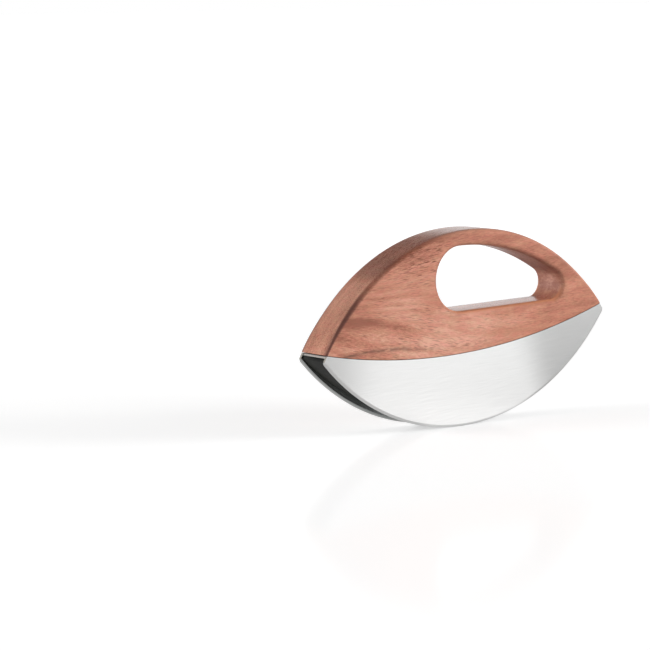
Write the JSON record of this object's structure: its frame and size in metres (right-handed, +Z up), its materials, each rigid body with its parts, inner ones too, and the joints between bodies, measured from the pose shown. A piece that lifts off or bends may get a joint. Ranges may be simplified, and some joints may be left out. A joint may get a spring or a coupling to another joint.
{
  "type": "mezzaluna",
  "caption": "Lens-shaped herb-chopping mezzaluna: a hardwood handle with an off-centre hand hole above parallel crescent steel blades with a black core between them.",
  "frame": {"origin": "on the surface the knife stands on, under the middle of its bounding box", "axes": "+X along the knife towards the hand hole's narrow end, +Z up, -Y out of the front blade; the knife leans 3.3 degrees about Y with the +X end raised, as it stands on its edges"},
  "size_m": [0.2174, 0.0228, 0.1144],
  "materials": {
    "wood": "oiled salmon-brown hardwood with short dark pores, satin",
    "blade_steel": "fine brushing along the blade, brightly polished bevel",
    "strip_steel": "plain rolled sheet",
    "screw_steel": "plain stainless",
    "black_plastic": "moulded, matt black",
    "seal": "thin black sheet",
    "brass": "plain turned"
  },
  "bodies": {
    "root": {"handle": "wood", "insert_left": "brass", "insert_middle": "brass", "insert_right": "brass", "seam_gasket": "seal", "carrier_strip": "strip_steel", "blade_front": "blade_steel", "blade_rear": "blade_steel", "core": "black_plastic", "screw_left": "screw_steel", "screw_middle": "screw_steel", "screw_right": "screw_steel", "cap_left": "black_plastic", "cap_middle": "black_plastic", "cap_right": "black_plastic"}
  },
  "joints": []
}
